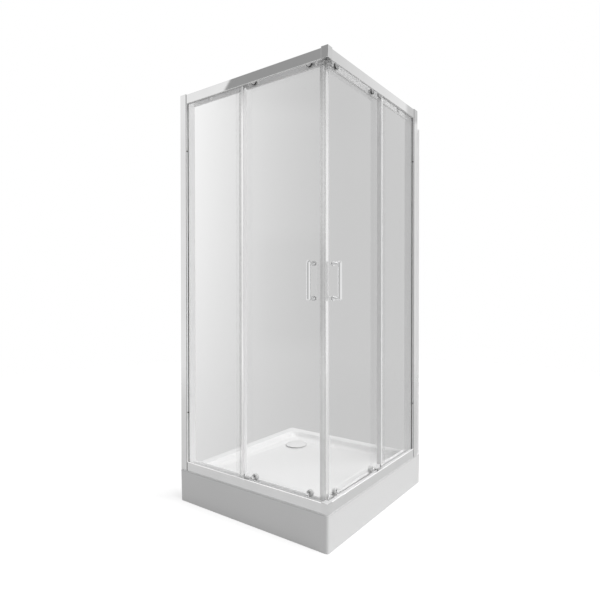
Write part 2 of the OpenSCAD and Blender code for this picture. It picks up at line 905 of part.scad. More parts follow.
module left_rear_seal() { rear_seal(LEFT); }
module right_rear_seal() { rear_seal(RIGHT); }

// Where a magnetic seal's slanted face starts and ends, set back from the mitre plane
function mitre_s(u) = u + magnet_gap / 2 * sqrt(2);
slant_len = (glass_t + 2 * seal_t) * sqrt(2);
magnet_lip = 1.5;
magnet_w = slant_len - magnet_t - 2 * magnet_lip;

// Turns a drawing so that its first direction follows the mitre plane
module on_mitre() {
    mid_u = door_setback + glass_t / 2;
    translate([mitre_s(mid_u), mid_u]) rotate(45) children();
}

// Outline of the magnet and its pocket, open to the slanted face
module magnet_outline() {
    on_mitre()
        translate([(magnet_t - magnet_w) / 2, -magnet_t]) square([magnet_w, magnet_t]);
}

// Clip on the leading edge of a door, with the slanted head that holds the magnet
module magnet_seal(side) {
    front = door_setback - seal_t;
    back = door_back + seal_t;
    color("lightgray")
    on_side(side)
        translate([0, 0, door_foot_z + seal_end])
            linear_extrude(door_top_z - door_foot_z - 2 * seal_end)
            difference() {
                polygon([[mitre_s(front), front], [door_lead + seal_grip, front],
                         [door_lead + seal_grip, back], [mitre_s(back), back]]);
                translate([door_lead, door_setback]) square([seal_grip + 1, glass_t]);
                magnet_outline();
            }
}

module left_magnet_seal() { magnet_seal(LEFT); }
module right_magnet_seal() { magnet_seal(RIGHT); }

magnet_end = 1;
module magnet_strip(side) {
    color("dimgray")
    on_side(side)
        translate([0, 0, door_foot_z + seal_end + magnet_end])
            linear_extrude(door_top_z - door_foot_z - 2 * (seal_end + magnet_end))
                magnet_outline();
}

module left_magnet_strip() { magnet_strip(LEFT); }
module right_magnet_strip() { magnet_strip(RIGHT); }

// Upright bar with round ends on two posts
module handle(side) {
    bar_u = door_setback - handle_reach;
    half = handle_len / 2 - bar_r;
    mid_z = tray_h + handle_mid;
    post_end_u = door_setback - rosette_t;
    color("silver")
    on_side(side)
        difference() {
            union() {
                translate([handle_s, bar_u, mid_z - half]) cylinder(h = 2 * half, r = bar_r);
                for (z = [mid_z - half, mid_z + half])
                    translate([handle_s, bar_u, z]) sphere(bar_r);
                for (z = handle_z)
                    pin(handle_s, z, bar_u, post_end_u, handle_post_r);
            }
            for (z = handle_z)
                pin(handle_s, z, post_end_u - handle_thread, post_end_u + 1, handle_screw_r);
        }
}
rosette_t = 4;
handle_post_r = 6;
handle_screw_r = 3;
handle_thread = 12;

module left_handle() { handle(LEFT); }
module right_handle() { handle(RIGHT); }

// Rosettes outside the glass, and the round inner caps with their screws
module handle_fixings(side) {
    cap_t = 6;
    post_end_u = door_setback - rosette_t;
    color("silver")
    on_side(side)
        for (z = handle_z) {
            difference() {
                pin(handle_s, z, post_end_u, door_setback, rosette_r);
                pin(handle_s, z, post_end_u - 1, door_setback + 1, handle_screw_r);
            }
            pin(handle_s, z, door_back, door_back + cap_t, rosette_r);
            pin(handle_s, z, door_setback, door_back + 1, handle_hole_r);
            pin(handle_s, z, post_end_u - handle_thread + 1, door_setback + 1, handle_screw_r);
        }
}

module left_handle_fixings() { handle_fixings(LEFT); }
module right_handle_fixings() { handle_fixings(RIGHT); }

// Spindle with the head that keeps its wheel on
module spindle(s, z, u0) {
    head_u = wheel_back + head_gap;
    pin(s, z, u0, head_u + end_head_t, axle_r);
    pin(s, z, head_u, head_u + end_head_t, axle_r + end_head_lip);
}

// Top roller holders: a round cap outside, a shoulder through the glass and the spindle
module hangers(side) {
    cap_t = 4;
    nut_lip = 3;
    color("silver")
    on_side(side)
        for (s = [near_s, far_s]) {
            pin(s, top_axle_z, door_setback - cap_t, door_setback, cap_r);
            pin(s, top_axle_z, door_setback - cap_t, door_back + nut_t, hanger_r);
            pin(s, top_axle_z, door_back, door_back + nut_t, hanger_r + nut_lip);
            spindle(s, top_axle_z, door_back);
        }
}

module left_hangers() { hangers(LEFT); }
module right_hangers() { hangers(RIGHT); }

// Bush in the glass with an upright slot for a release knob's stem and a spring pocket
module release_bushes(side) {
    flange_t_out = 2.5;
    flange_t_in = 2;
    u0 = door_setback - flange_t_out;
    u1 = door_back + flange_t_in;
    slot_r = axle_r + slot_gap;
    color("dimgray")
    on_side(side)
        for (s = [near_s, far_s])
            difference() {
                union() {
                    pin(s, bottom_axle_z + bush_rise, u0, u1, bush_r);
                    pin(s, bottom_axle_z + bush_rise, u0, door_setback, bush_flange_r);
                    pin(s, bottom_axle_z + bush_rise, door_back, u1, bush_flange_r);
                }
                pin(s, bottom_axle_z, u0 - 1, u1 + 1, slot_r);
                pin(s, bottom_axle_z + release_lift, u0 - 1, u1 + 1, slot_r);
                box([s - slot_r, u0 - 1, bottom_axle_z],
                    [s + slot_r, u1 + 1, bottom_axle_z + release_lift]);
                translate([s, door_setback + glass_t / 2, bottom_axle_z + axle_r])
                    cylinder(h = spring_seat - axle_r, r = spring_r + 0.1);
            }
}

module left_release_bushes() { release_bushes(LEFT); }
module right_release_bushes() { release_bushes(RIGHT); }

// Spring that presses a release stem down in its bush
module release_spring(side, s) {
    color("gray")
    on_side(side)
        translate([s, door_setback + glass_t / 2, bottom_axle_z + axle_r + running_gap])
            difference() {
                cylinder(h = spring_seat - axle_r - running_gap, r = spring_r);
                translate([0, 0, -1]) cylinder(h = spring_seat, r = spring_r - spring_wire);
            }
}

module left_release_spring_near() { release_spring(LEFT, near_s); }
module left_release_spring_far() { release_spring(LEFT, far_s); }
module right_release_spring_near() { release_spring(RIGHT, near_s); }
module right_release_spring_far() { release_spring(RIGHT, far_s); }

// Nylon wheel with a groove for the rib
module wheel(side, s, z, r) {
    color("whitesmoke")
    on_side(side)
        translate([s, wheel_front, z]) rotate([-90, 0, 0])
            difference() {
                cylinder(h = wheel_w, r = r);
                translate([0, 0, (wheel_w - rib_groove_w) / 2])
                    difference() {
                        cylinder(h = rib_groove_w, r = r + 1);
                        cylinder(h = rib_groove_w, r = r - groove_deep);
                    }
                translate([0, 0, -1]) cylinder(h = wheel_w + 2, r = axle_r + running_gap);
            }
}

module left_top_wheel_near() { wheel(LEFT, near_s, top_axle_z, top_wheel_r); }
module left_top_wheel_far() { wheel(LEFT, far_s, top_axle_z, top_wheel_r); }
module right_top_wheel_near() { wheel(RIGHT, near_s, top_axle_z, top_wheel_r); }
module right_top_wheel_far() { wheel(RIGHT, far_s, top_axle_z, top_wheel_r); }
module left_bottom_wheel_near() { wheel(LEFT, near_s, bottom_axle_z, bottom_wheel_r); }
module left_bottom_wheel_far() { wheel(LEFT, far_s, bottom_axle_z, bottom_wheel_r); }
module right_bottom_wheel_near() { wheel(RIGHT, near_s, bottom_axle_z, bottom_wheel_r); }
module right_bottom_wheel_far() { wheel(RIGHT, far_s, bottom_axle_z, bottom_wheel_r); }

// Knob outside the glass on the stem that carries a bottom wheel
module release_knob(side, s) {
    color("silver")
    on_side(side) {
        pin(s, bottom_axle_z, knob_front, knob_front + knob_t, knob_r);
        spindle(s, bottom_axle_z, knob_front);
    }
}

module left_release_knob_near() { release_knob(LEFT, near_s); }
module left_release_knob_far() { release_knob(LEFT, far_s); }
module right_release_knob_near() { release_knob(RIGHT, near_s); }
module right_release_knob_far() { release_knob(RIGHT, far_s); }

tray();
tray_board();
leg_studs();
leg_pads();
waste_body();
waste_gasket();
waste_flange();
drain_cup();
drain_cover();
wall_channels();
left_wall_post();
right_wall_post();
post_caps();
left_top_rail();
right_top_rail();
left_bottom_rail();
right_bottom_rail();
top_corner_block();
bottom_corner_block();
rail_screws();
clamp_screws();
door_stops();
left_fixed_pane();
right_fixed_pane();
pane_gaskets();
pane_end_blocks();
left_pane_seal();
right_pane_seal();
left_door_glass();
right_door_glass();
left_rear_seal();
right_rear_seal();
left_magnet_seal();
right_magnet_seal();
left_magnet_strip();
right_magnet_strip();
left_handle();
right_handle();
left_handle_fixings();
right_handle_fixings();
left_hangers();
right_hangers();
left_release_bushes();
right_release_bushes();
left_release_spring_near();
left_release_spring_far();
right_release_spring_near();
right_release_spring_far();
left_top_wheel_near();
left_top_wheel_far();
right_top_wheel_near();
right_top_wheel_far();
left_bottom_wheel_near();
left_bottom_wheel_far();
right_bottom_wheel_near();
right_bottom_wheel_far();
left_release_knob_near();
left_release_knob_far();
right_release_knob_near();
right_release_knob_far();
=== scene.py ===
import math

import bmesh
import bpy
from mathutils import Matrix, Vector


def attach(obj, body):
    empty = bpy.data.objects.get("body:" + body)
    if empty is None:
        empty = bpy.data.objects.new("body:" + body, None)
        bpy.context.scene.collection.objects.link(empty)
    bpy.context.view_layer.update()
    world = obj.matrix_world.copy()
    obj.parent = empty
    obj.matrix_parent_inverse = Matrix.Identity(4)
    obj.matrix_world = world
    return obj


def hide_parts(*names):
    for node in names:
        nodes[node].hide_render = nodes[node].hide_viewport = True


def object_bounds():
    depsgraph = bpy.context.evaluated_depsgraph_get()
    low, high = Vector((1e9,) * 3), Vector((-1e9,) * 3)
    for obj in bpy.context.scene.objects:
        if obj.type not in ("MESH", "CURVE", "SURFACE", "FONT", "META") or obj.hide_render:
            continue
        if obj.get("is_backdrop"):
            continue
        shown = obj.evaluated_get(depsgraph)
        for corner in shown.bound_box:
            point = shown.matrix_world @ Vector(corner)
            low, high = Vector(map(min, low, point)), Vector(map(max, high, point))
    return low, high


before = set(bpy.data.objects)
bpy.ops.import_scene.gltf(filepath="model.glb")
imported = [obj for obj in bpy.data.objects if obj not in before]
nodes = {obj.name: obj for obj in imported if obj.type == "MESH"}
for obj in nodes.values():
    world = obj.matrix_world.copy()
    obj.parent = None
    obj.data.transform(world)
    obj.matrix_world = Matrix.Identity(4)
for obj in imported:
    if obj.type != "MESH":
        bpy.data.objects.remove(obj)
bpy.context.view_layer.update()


# The camera stands off the front corner at half the cabin's height and looks at it almost
# level. Its picture is square, and the frame is shifted a little to the left and down.
photo_camera = bpy.data.cameras.new("photo_camera")
photo_camera.sensor_width = 36.0
photo_camera.lens = 28.90
photo_camera.shift_x = -0.0412
photo_camera.shift_y = -0.0082
camera_turn, camera_droop = 34.629, 0.58
camera = bpy.data.objects.new("photo_camera", photo_camera)
camera.location = (1.5217, -2.0251, 1.0553)
camera.rotation_euler = (math.radians(90 - camera_droop), 0.0, math.radians(camera_turn))
bpy.context.scene.collection.objects.link(camera)
bpy.context.scene.camera = camera
bpy.context.scene.view_settings.view_transform = "Standard"


# The studio is a pale floor that fades into a white backdrop. A recipe holds the nodes of
# one finish, and a wire is one value on its way through it.
class Wire:
    def __init__(self, recipe, socket):
        self.recipe = recipe
        self.socket = socket

    def math(self, operation, *others):
        values = dict(enumerate((self, *others)))
        return self.recipe.node("Math", {"operation": operation}, values)

    def __add__(self, other):
        return self.math("ADD", other)

    def __radd__(self, other):
        return self.math("ADD", other)

    def __mul__(self, other):
        return self.math("MULTIPLY", other)

    def __rmul__(self, other):
        return self.math("MULTIPLY", other)

    def __sub__(self, other):
        return self.math("SUBTRACT", other)

    def __rsub__(self, other):
        return self.recipe.node("Math", {"operation": "SUBTRACT"}, {0: other, 1: self})

    def __gt__(self, other):
        return self.math("GREATER_THAN", other)

    def between(self, low, high, to_low=0.0, to_high=1.0, smooth=False):
        settings = {"interpolation_type": "SMOOTHSTEP" if smooth else "LINEAR", "clamp": True}
        return self.recipe.node("MapRange", settings, {
            "Value": self, "From Min": low, "From Max": high, "To Min": to_low, "To Max": to_high})


class Recipe:
    def __init__(self, owner):
        owner.use_nodes = True
        self.tree = owner.node_tree
        self.tree.nodes.clear()

    def node(self, kind, settings=None, values=None, out=0):
        made = self.tree.nodes.new("ShaderNode" + kind)
        for key, value in (settings or {}).items():
            setattr(made, key, value)
        for key, value in (values or {}).items():
            if isinstance(value, Wire):
                self.tree.links.new(value.socket, made.inputs[key])
            else:
                made.inputs[key].default_value = value
        return Wire(self, made.outputs[out])

    def place(self, stretch=(1.0, 1.0, 1.0), shift=(0.0, 0.0, 0.0)):
        here = self.node("TexCoord", out="Object")
        return self.node("Mapping", {}, {"Vector": here, "Scale": stretch, "Location": shift})

    def along(self, axis):
        return self.node("SeparateXYZ", {}, {0: self.place()}, out="XYZ".index(axis))

    def noise(self, vector, scale, detail=3.0, rough=0.5):
        return self.node("TexNoise", {}, {"Vector": vector, "Scale": scale, "Detail": detail,
                                          "Roughness": rough}, out="Fac")

    def blend(self, factor, first, second):
        values = {0: factor}
        for key, value in ((6, first), (7, second)):
            values[key] = value if isinstance(value, Wire) else (*value, 1.0)
        return self.node("Mix", {"data_type": "RGBA"}, values, out=2)

    def grey(self, factor, first, second):
        return self.blend(factor, (first,) * 3, (second,) * 3)

    def bump(self, height, strength, distance=0.0002):
        return self.node("Bump", {}, {"Height": height, "Strength": strength,
                                      "Distance": distance})

    def skin(self, **values):
        named = {key.replace("_", " "): value for key, value in values.items()}
        return self.node("BsdfPrincipled", {}, named)

    def show(self, shader, output="OutputMaterial"):
        made = self.tree.nodes.new("ShaderNode" + output)
        self.tree.links.new(shader.socket, made.inputs["Surface"])


def new_finish(name):
    material = bpy.data.materials.new(name)
    return material, Recipe(material)


floor_reach, floor_drop, fade_start, fade_end = 7.0, 0.0005, 1.6, 5.5
glow_to_camera, glow_in_mirrors = 0.70, 0.33
bpy.ops.object.select_all(action="DESELECT")
bpy.ops.mesh.primitive_circle_add(vertices=96, radius=floor_reach, fill_type="NGON",
                                  location=(0, 0, -floor_drop))
floor = bpy.context.active_object
floor.name = "studio_floor"
floor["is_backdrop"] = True
floor_paint, r = new_finish("floor_paint")
camera_ray = r.node("LightPath", out="Is Camera Ray")
through_ray = r.node("LightPath", out="Is Transmission Ray")
mirror_ray = r.node("LightPath", out="Is Glossy Ray") * (1.0 - through_ray)
seen = camera_ray * glow_to_camera + mirror_ray * glow_in_mirrors
paint = r.node("BsdfDiffuse", {}, {"Color": (0.36, 0.36, 0.36, 1.0)})
glow = r.node("Emission", {}, {"Color": (1.0, 1.0, 1.0, 1.0), "Strength": seen})
lit = r.node("AddShader", {}, {0: paint, 1: glow})
away = r.node("VectorMath", {"operation": "LENGTH"}, {0: r.place()}, out="Value")
gone = away.between(fade_start, fade_end, smooth=True).math("MAXIMUM", through_ray)
r.show(r.node("MixShader", {}, {0: gone, 1: lit, 2: r.node("BsdfTransparent")}))
floor.data.materials.append(floor_paint)


# The backdrop is what the glass shows. It is grey behind the cabin and brightens on the left,
# most of all high up. Towards the front the glass has the pale room behind it.
world = bpy.data.worlds.new("studio")
bpy.context.scene.world = world
studio = Recipe(world)
facing = studio.node("TexCoord", out="Generated")
height = studio.node("SeparateXYZ", {}, {0: facing}, out=2)


def toward(azimuth, elevation=0.0):
    turn, tilt = math.radians(azimuth), math.radians(elevation)
    return Vector((math.cos(turn) * math.cos(tilt), math.sin(turn) * math.cos(tilt),
                   math.sin(tilt)))


def faces(direction):
    return studio.node("VectorMath", {"operation": "DOT_PRODUCT"}, {0: facing, 1: direction},
                       out="Value")


def around(azimuth, full, gone, smooth=False):
    """1 up to so many degrees from an azimuth, and 0 past so many."""
    return faces(toward(azimuth)).between(math.cos(math.radians(gone)),
                                          math.cos(math.radians(full)), smooth=smooth)


def above(gone, full):
    """0 under one elevation in degrees, and 1 over another."""
    return height.between(math.sin(math.radians(gone)), math.sin(math.radians(full)))


pale, backdrop_grey, backdrop_peak = 0.97, 0.605, 1.05
rise = (faces(toward(214)) + 0.05).math("MAXIMUM", 0.0)
backdrop = backdrop_grey + rise * rise * (2.85 + height * 4.0)
backdrop = backdrop.math("MINIMUM", backdrop_peak)
backdrop = backdrop + around(-55, 84.26, 90.0) * (pale - backdrop)


# Dark flags stand in the room, and only mirrors show them: a high one with a slanted edge in
# the left top rail, a level one in the left half of the round handle bars, and two small ones
# in the edge of the top corner block and in the far end of the right top rail.
left_half = faces(toward(-90)) > 0.0
slanted_edge = toward(-135.71, 23.09).cross(toward(-136.51, 21.75)).normalized()
rail_flag = faces(slanted_edge).between(-0.0015, 0.0015) * above(19.88, 21.72) * left_half
handle_flag = around(-96.5, 34.92, 37.81) * above(-7.47, -5.16) * (1.0 - above(5.16, 7.47))
end_flag = around(155, 89.83, 90.17) * around(65, 28.36, 34.92) * above(18.54, 19.03)
corner_flag = around(-35, 31.79, 41.41) * above(25.98, 26.36) * (1.0 - above(29.34, 31.33))
flags = rail_flag * 0.60 + handle_flag * 0.42 + end_flag * 0.28 + corner_flag * 0.75


# The room is also a little dimmer on the right, at the back and below, so that the right rails,
# the right post and what lies flat stand out from the white background.
high, low = above(16.26, 19.88), 1.0 - above(-20.49, -14.48)
dim = (1.0 - high) * 0.06 + around(125, 36.87, 61.97) * 0.12
dim = dim + (1.0 - around(150, 84.84, 95.16)) * around(60, 36.87, 60.0, True) * high * 0.24
dim = dim + around(60, 36.87, 66.42) * low * 0.12
dim = dim + around(150, 86.56, 91.15) * (1.0 - left_half) * (1.0 - high - low) * 0.05


# The camera sees white, mirrors see the room, glass sees the backdrop, and all else is lit at
# one plain level. A high lamp from the right, as soft as a hazy sun, adds the shadow.
room, plain = pale - flags - dim, 0.46
camera_ray = studio.node("LightPath", out="Is Camera Ray")
through_ray = studio.node("LightPath", out="Is Transmission Ray")
mirror_ray = studio.node("LightPath", out="Is Glossy Ray") * (1.0 - through_ray)
level = plain + camera_ray * (1.0 - plain) + mirror_ray * (room - plain)
level = level + through_ray * (backdrop - plain)
sky = studio.node("Background", {}, {"Color": (1.0, 1.0, 1.0, 1.0), "Strength": level})
studio.show(sky, "OutputWorld")

high_light = bpy.data.lights.new("high_light", "SUN")
high_light.energy = 2.35
high_light.angle = math.radians(35)
lamp = bpy.data.objects.new("high_light", high_light)
lamp.rotation_mode = "QUATERNION"
lamp.rotation_quaternion = Vector((0.50, 0.08, 0.86)).to_track_quat("Z", "Y")
lamp.visible_glossy = False
bpy.context.scene.collection.objects.link(lamp)


# Five feet carry the tray. Their pads are black rubber, moulded with a fine grain and a
# slight bloom, and the same rubber makes the waste gasket.
def dress(material, *names):
    for name in names:
        for place in nodes[name].material_slots:
            place.material = material


rubber, r = new_finish("moulded_rubber")
grain = r.noise(r.place(), 900.0, 4.0)
bloom = r.noise(r.place(), 25.0)
r.show(r.skin(Base_Color=r.grey(bloom, 0.028, 0.055), Roughness=bloom.between(0.3, 0.7, 0.6, 0.8),
              Normal=r.bump(grain, 0.25)))
dress(rubber, "leg_pads", "waste_gasket")


# The studs with their plates and lock nuts are zinc-plated steel, screwed into the board.
# Their thread is rolled. A wave texture has 20 / tau waves per unit at a scale of 1.
def waves(r, profile, pitch):
    settings = {"wave_type": "BANDS", "bands_direction": "Z", "wave_profile": profile}
    return r.node("TexWave", settings, {"Vector": r.place(), "Scale": math.tau / 20 / pitch,
                                        "Distortion": 0.0}, out="Fac")


thread_pitch = 0.0015
zinc, r = new_finish("zinc_plated_steel")
cloud = r.noise(r.place(), 60.0, 4.0)
thread = waves(r, "TRI", thread_pitch)
r.show(r.skin(Base_Color=r.blend(cloud, (0.52, 0.53, 0.54), (0.68, 0.68, 0.66)), Metallic=1.0,
              Roughness=cloud.between(0.3, 0.7, 0.24, 0.42),
              Normal=r.bump(thread, 0.4, 0.0004)))
dress(zinc, "leg_studs")


# The board under the basin is raw chipboard, pressed from coarse chips. It is glued to the back
# of the basin and holds the studs of the feet.
chipboard, r = new_finish("chipboard")
chips = r.node("TexVoronoi", {"feature": "F1"},
               {"Vector": r.place((1.0, 2.4, 2.4)), "Scale": 170.0, "Randomness": 1.0},
               out="Color")
shade = r.node("SeparateColor", {}, {0: chips}, out=0)
speck = r.noise(r.place(), 420.0)
wood = r.blend(shade, (0.46, 0.31, 0.17), (0.74, 0.57, 0.37))
r.show(r.skin(Base_Color=r.blend(speck.between(0.55, 0.75), wood, (0.34, 0.22, 0.12)),
              Roughness=shade.between(0.0, 1.0, 0.7, 0.9), Normal=r.bump(speck, 0.4, 0.0003)))
dress(chipboard, "tray_board")


# The tray is one acrylic sheet drawn over a mould: a flat rim, a shallow basin that falls to the
# waste, and an apron, deep on the two open sides. Its back is glass fibre in rough resin. A grey
# line of painted shade runs along the rim in front of the rails, where their foot shades it.
def pick(piece, mode, test):
    """Selects the corners, edges or faces of the piece that pass the test."""
    bpy.ops.mesh.select_mode(type=mode)
    bpy.ops.mesh.select_all(action="DESELECT")
    shape = bmesh.from_edit_mesh(piece.data)
    for part in {"VERT": shape.verts, "EDGE": shape.edges, "FACE": shape.faces}[mode]:
        if mode == "VERT":
            middle = part.co
        elif mode == "EDGE":
            middle = (part.verts[0].co + part.verts[1].co) / 2
        else:
            middle = part.calc_center_median()
        if test(middle, part):
            part.select_set(True)
    shape.select_flush_mode()
    bmesh.update_edit_mesh(piece.data)


def turns(edge, angle):
    """Whether the surface turns by more than the angle across an edge."""
    return len(edge.link_faces) == 2 and edge.calc_face_angle(0.0) > angle


rim_side, rim_top, rim_corner, rim_round = 0.900, 0.155, 0.012, 0.005
basin_side, basin_shift, basin_corner, basin_round = 0.780, 0.010, 0.060, 0.006
basin_slope, basin_drop, floor_round = 0.022, 0.026, 0.011
waste_x, waste_y, waste_z, hollow_radius, hole_radius = -0.265, 0.265, 0.121, 0.065, 0.044
apron_foot_side, sheet_wall = 0.895, 0.004
shade_line_reach, shade_line_foot = 0.4440, 0.1485
basin_floor = rim_top - basin_drop

acrylic, r = new_finish("white_acrylic")
haze = r.noise(r.place(), 3.0)
peel = r.noise(r.place(), 260.0, 2.0)
reach = r.along("X").math("MAXIMUM", r.along("Y") * -1.0)
# A thin grey, less glossy band on the rim at the rails' foot: painted shade of the rails.
painted_rail_shade = reach.between(shade_line_reach, shade_line_reach + 0.0006)
painted_rail_shade = painted_rail_shade * r.along("Z").between(shade_line_foot, shade_line_foot + 0.0045)
sheet = r.grey(haze, 0.865, 0.895)
r.show(r.skin(Base_Color=r.blend(painted_rail_shade, sheet, (0.58, 0.58, 0.58)),
              Roughness=haze.between(0.3, 0.7, 0.16, 0.24) + painted_rail_shade * 0.3,
              Coat_Weight=haze.between(0.3, 0.7, 0.25, 0.4) * (1.0 - painted_rail_shade),
              Coat_Roughness=0.08, Normal=r.bump(peel, 0.05)))
fibre, r = new_finish("glass_fibre_back")
strand = r.noise(r.place((1.0, 0.15, 1.0)), 300.0, 4.0) + r.noise(r.place((0.15, 1.0, 1.0)), 300.0)
r.show(r.skin(Base_Color=r.blend(strand.between(0.7, 1.3), (0.60, 0.60, 0.55), (0.76, 0.76, 0.72)),
              Roughness=strand.between(0.7, 1.3, 0.5, 0.75), Normal=r.bump(strand, 0.5, 0.0006)))

bpy.ops.object.select_all(action="DESELECT")
bpy.ops.mesh.primitive_plane_add(size=basin_side, location=(-basin_shift, basin_shift, rim_top))
tray = bpy.context.active_object
tray.name = "acrylic_tray"
tray.data.materials.append(acrylic)
tray.data.materials.append(fibre)
bpy.ops.object.transform_apply(location=True, rotation=False, scale=False)
bpy.ops.object.mode_set(mode="EDIT")
bpy.ops.mesh.select_all(action="SELECT")
bpy.ops.mesh.bevel(affect="VERTICES", offset=basin_corner, segments=16, profile=0.5)
bpy.ops.mesh.select_all(action="SELECT")
bpy.ops.mesh.inset(thickness=basin_slope, depth=-basin_drop)
pick(tray, "FACE", lambda middle, face: middle.z < basin_floor + 0.001)
bpy.ops.mesh.delete(type="ONLY_FACE")
bpy.ops.mesh.primitive_circle_add(vertices=68, radius=hollow_radius, fill_type="NOTHING",
                                  location=(waste_x, waste_y, waste_z))
pick(tray, "EDGE", lambda middle, edge: middle.z < basin_floor + 0.0005
     and len(edge.link_faces) < 2)
bpy.ops.mesh.bridge_edge_loops()
pick(tray, "EDGE", lambda middle, edge: middle.z < waste_z + 0.0005 and len(edge.link_faces) == 1)
bpy.ops.mesh.extrude_edges_move()
narrowing = hole_radius / hollow_radius
bpy.ops.transform.resize(value=(narrowing, narrowing, 1.0),
                         center_override=(waste_x, waste_y, waste_z))
lift = 0.200
bpy.ops.mesh.primitive_plane_add(size=rim_side, location=(0, 0, rim_top + lift))
pick(tray, "VERT", lambda middle, corner: middle.z > rim_top + lift / 2)
bpy.ops.mesh.bevel(affect="VERTICES", offset=rim_corner, segments=16, profile=0.5)
pick(tray, "FACE", lambda middle, face: middle.z > rim_top + lift / 2)
bpy.ops.mesh.delete(type="ONLY_FACE")
pick(tray, "EDGE", lambda middle, edge: middle.z > rim_top - 0.001 and len(edge.link_faces) < 2)
bpy.ops.mesh.bridge_edge_loops()
pick(tray, "VERT", lambda middle, corner: middle.z > rim_top + lift / 2)
bpy.ops.transform.translate(value=(0, 0, -lift))
pick(tray, "EDGE", lambda middle, edge: middle.z > rim_top - 0.001 and len(edge.link_faces) == 1)
bpy.ops.mesh.extrude_edges_move()
draw_in = apron_foot_side / rim_side
bpy.ops.transform.resize(value=(draw_in, draw_in, 1.0), center_override=(0, 0, rim_top))
bpy.ops.transform.translate(value=(0, 0, -rim_top))
pick(tray, "EDGE", lambda middle, edge: middle.z > rim_top - 0.0001 and turns(edge, 1.2))
bpy.ops.mesh.bevel(affect="EDGES", offset=rim_round, segments=5, profile=0.5)
pick(tray, "EDGE", lambda middle, edge: middle.z > rim_top - 0.0001 and turns(edge, 0.6))
bpy.ops.mesh.bevel(affect="EDGES", offset=basin_round, segments=4, profile=0.5)
pick(tray, "EDGE", lambda middle, edge: abs(middle.z - basin_floor) < 0.0005 and turns(edge, 0.5))
bpy.ops.mesh.bevel(affect="EDGES", offset=floor_round, segments=5, profile=0.5)
bpy.ops.mesh.select_all(action="SELECT")
bpy.ops.mesh.normals_make_consistent(inside=False)
bpy.ops.object.mode_set(mode="OBJECT")
shell = tray.modifiers.new("shell", "SOLIDIFY")
shell.thickness = sheet_wall
shell.offset = -1.0
shell.material_offset = 1
bpy.ops.object.modifier_apply(modifier="shell")


# Glass fibre evens out the underside of the basin, flat on the board. The two wall sides of the
# apron are cut away under a short edge, and its ends turn round the corners.
edge_foot, apron_return, cut_depth, past = 0.110, 0.030, 0.0185, 0.010
bpy.ops.object.mode_set(mode="EDIT")
pick(tray, "FACE", lambda middle, face: face.material_index == 1
     and middle.z < basin_floor - 0.7 * sheet_wall and abs(face.normal.z) > 0.97)
bpy.ops.transform.resize(value=(1.0, 1.0, 0.0), center_override=(0, 0, waste_z - sheet_wall))
bpy.ops.object.mode_set(mode="OBJECT")
far, near, start = rim_side / 2 + past, rim_side / 2 - cut_depth, rim_side / 2 - apron_return
for corner, opposite in (((-far, -start, -past), (-near, far, edge_foot)),
                         ((-far, near, -past), (start, far, edge_foot))):
    corner, opposite = Vector(corner), Vector(opposite)
    bpy.ops.object.select_all(action="DESELECT")
    bpy.ops.mesh.primitive_cube_add(size=1.0, location=(corner + opposite) / 2,
                                    scale=opposite - corner)
    cutter = bpy.context.active_object
    bpy.ops.object.select_all(action="DESELECT")
    bpy.context.view_layer.objects.active = tray
    tray.select_set(True)
    opening = tray.modifiers.new("opening", "BOOLEAN")
    opening.object = cutter
    bpy.ops.object.modifier_apply(modifier="opening")
    bpy.data.objects.remove(cutter)
bpy.ops.object.transform_apply(location=True, rotation=True, scale=True)
bpy.ops.object.shade_smooth_by_angle(angle=math.radians(35))
even = tray.modifiers.new("even", "WEIGHTED_NORMAL")
even.keep_sharp = True
bpy.ops.object.modifier_apply(modifier="even")
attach(tray, "cabin")
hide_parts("tray")


# The trap is moulded white plastic, clamped under the basin by a polished steel flange. The
# lift-out cup is chromed plastic, and its domed cover has a paler, softer plating.
trap_plastic, r = new_finish("trap_plastic")
flow = r.noise(r.place((1.0, 1.0, 0.3)), 30.0)
r.show(r.skin(Base_Color=r.grey(flow, 0.78, 0.86), Roughness=flow.between(0.3, 0.7, 0.36, 0.5),
              Normal=r.bump(r.noise(r.place(), 500.0), 0.08)))
dress(trap_plastic, "waste_body")

flange_steel, r = new_finish("polished_steel")
arm = r.node("VectorMath", {"operation": "LENGTH"},
             {0: r.place((1.0, 1.0, 0.0), (-waste_x, -waste_y, 0.0))}, out="Value")
ring = r.noise(r.node("CombineXYZ", {}, {0: arm}), 1800.0, 2.0)
r.show(r.skin(Base_Color=r.grey(ring, 0.66, 0.74), Metallic=1.0,
              Roughness=ring.between(0.3, 0.7, 0.14, 0.26), Normal=r.bump(ring, 0.05)))
dress(flange_steel, "waste_flange")

chrome, r = new_finish("chrome_plating")
film = r.noise(r.place(), 14.0, 4.0)
r.show(r.skin(Base_Color=r.blend(film, (0.82, 0.825, 0.83), (0.88, 0.88, 0.88)), Metallic=1.0,
              Roughness=film.between(0.35, 0.7, 0.03, 0.08),
              Normal=r.bump(r.noise(r.place(), 260.0, 2.0), 0.012)))
dress(chrome, "drain_cup")
cover_plating, r = new_finish("satin_plating")
film = r.noise(r.place(), 40.0, 4.0)
r.show(r.skin(Base_Color=r.grey(film, 0.86, 0.92), Metallic=film.between(0.3, 0.7, 0.30, 0.40),
              Roughness=film.between(0.3, 0.7, 0.12, 0.22), Normal=r.bump(film, 0.03)))
dress(cover_plating, "drain_cover")


# Wall channels, posts and rails are extruded aluminium, cut to length and anodised. Their outer
# faces are polished, and all that lies behind them keeps the die's satin, its tone raised nearly
# to white as painted light that lifts the shade inside the rails. The joint between a post and
# a rail shows as a dark line.
def let_light_by(r, shader, tint):
    """Lets the lamps and the room light what is behind a piece."""
    clear = r.node("BsdfTransparent", {}, {"Color": (tint, tint, tint, 1.0)})
    shadow_ray = r.node("LightPath", out="Is Shadow Ray")
    soft_ray = r.node("LightPath", out="Is Diffuse Ray")
    r.show(r.node("MixShader", {}, {0: shadow_ray.math("MAXIMUM", soft_ray), 1: shader, 2: clear}))


face_depth, joint_half_width = 0.0006, 0.0026


